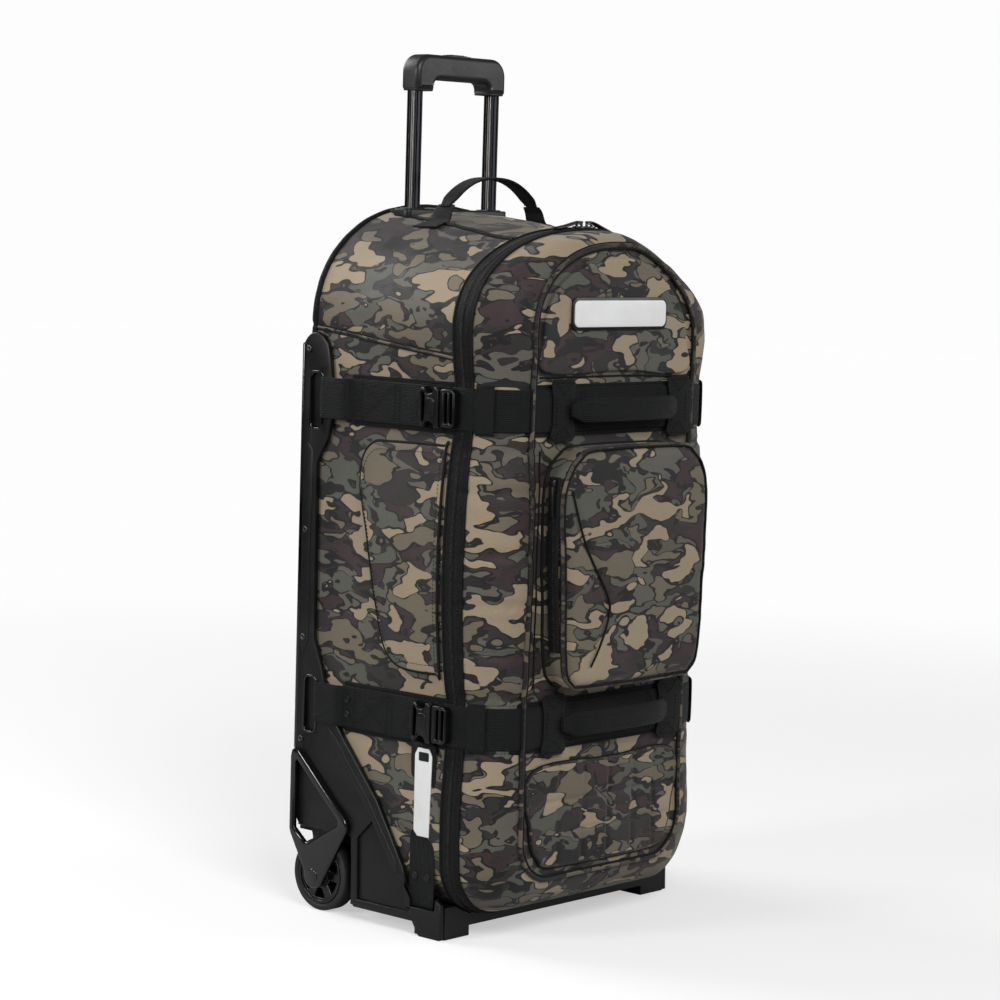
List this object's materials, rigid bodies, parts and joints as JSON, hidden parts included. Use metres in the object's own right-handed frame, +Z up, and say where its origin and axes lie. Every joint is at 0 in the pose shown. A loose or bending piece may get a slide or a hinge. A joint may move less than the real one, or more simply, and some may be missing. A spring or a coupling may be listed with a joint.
{
  "type": "rolling gear duffel bag",
  "caption": "Large upright wheeled duffel with a stiff deck, zipped side-hinged lid, pockets, buckled straps and a telescoping pull handle.",
  "frame": {"origin": "centre of the bag's footprint, on the floor it stands on", "axes": "+Z up along the pull handle, lid faces -Y, wheels and deck at +Y, +X to the bag's lid-hinge side"},
  "size_m": [0.432, 0.36, 1.0345],
  "materials": {
    "camo_fabric": "printed coated woven polyester, mottled tan, olive, slate and brown",
    "padding": "dark padded lining",
    "webbing": "black woven webbing",
    "zip_tape": "black coil zip and tape",
    "deck_plastic": "satin black moulded plastic",
    "gloss_plastic": "gloss black moulded plastic",
    "buckle_plastic": "satin black acetal",
    "grip_plastic": "charcoal soft-touch plastic",
    "tube_alloy": "dark anodised, satin",
    "steel": "zinc plated or blackened",
    "zip_metal": "dark nickel",
    "zip_pull": "rubberised cord pull",
    "wheel_plastic": "black moulded",
    "tyre": "dark urethane",
    "white_rubber": "white moulded rubber, blank"
  },
  "bodies": {
    "bag": {"body_shell": "camo_fabric", "base_board": "padding", "foam_divider": "padding", "side_pockets": "camo_fabric", "grab_handle_tabs": "webbing", "body_zip_tape": "zip_tape", "base_tray": "deck_plastic", "side_plate_left": "deck_plastic", "side_plate_right": "deck_plastic", "back_deck": "deck_plastic", "wheel_wells": "deck_plastic", "wheel_bracket_left": "gloss_plastic", "wheel_bracket_right": "gloss_plastic", "axles": "steel", "plate_screws": "steel", "side_bands": "webbing", "side_straps": "webbing", "strap_rivets": "steel", "corner_straps": "webbing", "id_tag": "white_rubber", "buckle_sockets": "buckle_plastic", "outer_tubes": "tube_alloy", "tube_mounts": "deck_plastic", "tube_tunnel": "padding", "handle_bezel": "deck_plastic"},
    "pull_handle": {"handle_grip": "grip_plastic", "inner_tube_left": "tube_alloy", "inner_tube_right": "tube_alloy", "tube_end_plugs": "deck_plastic", "grip_screws": "steel", "button_spring": "steel"},
    "release": {"release_button": "buckle_plastic", "release_rods": "steel"},
    "pin_left": {"lock_pin_left": "steel"},
    "pin_right": {"lock_pin_right": "steel"},
    "wheel_left_unit": {"wheel_left": "wheel_plastic", "tyre_left": "tyre", "bearings_left": "steel"},
    "wheel_right_unit": {"wheel_right": "wheel_plastic", "tyre_right": "tyre", "bearings_right": "steel"},
    "lid": {"lid_shell": "camo_fabric", "lid_zip_tape": "zip_tape", "upper_pocket": "camo_fabric", "middle_pocket": "camo_fabric", "lower_pocket": "camo_fabric", "pocket_zip": "zip_tape", "badge": "white_rubber", "front_bands": "webbing", "front_straps": "webbing", "haul_tabs": "webbing"},
    "plug_upper": {"buckle_plug_upper": "buckle_plastic"},
    "plug_lower": {"buckle_plug_lower": "buckle_plastic"},
    "haul_upper": {"haul_grip_upper": "webbing"},
    "haul_lower": {"haul_grip_lower": "webbing"},
    "grab": {"grab_handle": "webbing"},
    "slider_left": {"zip_slider_left": "zip_metal"},
    "slider_right": {"zip_slider_right": "zip_metal"},
    "pull_left": {"zip_pull_left": "zip_pull"},
    "pull_right": {"zip_pull_right": "zip_pull"}
  },
  "joints": [
    {"name": "handle_slide", "type": "slide", "parent": "bag", "child": "pull_handle", "axis": [0, 0, 1], "range_m": [-0.14, 0]},
    {"name": "release_button_press", "type": "slide", "parent": "pull_handle", "child": "release", "axis": [0, 0, -1], "range_m": [0, 0.004], "stiffness_N_per_m": 400, "deforming": ["button_spring"]},
    {"name": "pin_left_draw", "type": "slide", "parent": "pull_handle", "child": "pin_left", "axis": [1, 0, 0], "range_m": [0, 0.004]},
    {"name": "pin_right_draw", "type": "slide", "parent": "pull_handle", "child": "pin_right", "axis": [-1, 0, 0], "range_m": [0, 0.004]},
    {"name": "wheel_left_spin", "type": "hinge", "parent": "bag", "child": "wheel_left_unit", "pos_m": [-0.193, 0.136, 0.044], "axis": [1, 0, 0], "continuous": true},
    {"name": "wheel_right_spin", "type": "hinge", "parent": "bag", "child": "wheel_right_unit", "pos_m": [0.193, 0.136, 0.044], "axis": [1, 0, 0], "continuous": true},
    {"name": "lid_hinge", "type": "hinge", "parent": "bag", "child": "lid", "pos_m": [0.204, -0.077, 0.4], "axis": [0, 0, 1], "range_deg": [0, 110]},
    {"name": "upper_buckle_pull", "type": "slide", "parent": "lid", "child": "plug_upper", "axis": [0, -1, 0], "range_m": [0, 0.03]},
    {"name": "lower_buckle_pull", "type": "slide", "parent": "lid", "child": "plug_lower", "axis": [0, -1, 0], "range_m": [0, 0.03]},
    {"name": "upper_haul_grip_swing", "type": "hinge", "parent": "lid", "child": "haul_upper", "pos_m": [0, -0.1493, 0.62], "axis": [-1, 0, 0], "range_deg": [-40, 40], "stiffness_Nm_per_rad": 0.3},
    {"name": "lower_haul_grip_swing", "type": "hinge", "parent": "lid", "child": "haul_lower", "pos_m": [0, -0.1493, 0.254], "axis": [-1, 0, 0], "range_deg": [-40, 40], "stiffness_Nm_per_rad": 0.3},
    {"name": "grab_handle_swing", "type": "hinge", "parent": "bag", "child": "grab", "pos_m": [0, 0.075, 0.848], "axis": [1, 0, 0], "range_deg": [-50, 50], "stiffness_Nm_per_rad": 0.3},
    {"name": "left_zip_slide", "type": "slide", "parent": "bag", "child": "slider_left", "axis": [-1, 0, 0], "range_m": [0, 0.06]},
    {"name": "right_zip_slide", "type": "slide", "parent": "bag", "child": "slider_right", "axis": [1, 0, 0], "range_m": [0, 0.06]},
    {"name": "left_zip_pull_swing", "type": "hinge", "parent": "slider_left", "child": "pull_left", "pos_m": [-0.004, -0.077, 0.836], "axis": [0, 1, 0], "range_deg": [0, 90]},
    {"name": "right_zip_pull_swing", "type": "hinge", "parent": "slider_right", "child": "pull_right", "pos_m": [0.004, -0.077, 0.836], "axis": [0, -1, 0], "range_deg": [0, 90]}
  ],
  "couplings": [
    {"joint": "pin_left_draw", "follows": "release_button_press", "ratio": 1},
    {"joint": "pin_right_draw", "follows": "release_button_press", "ratio": 1}
  ]
}
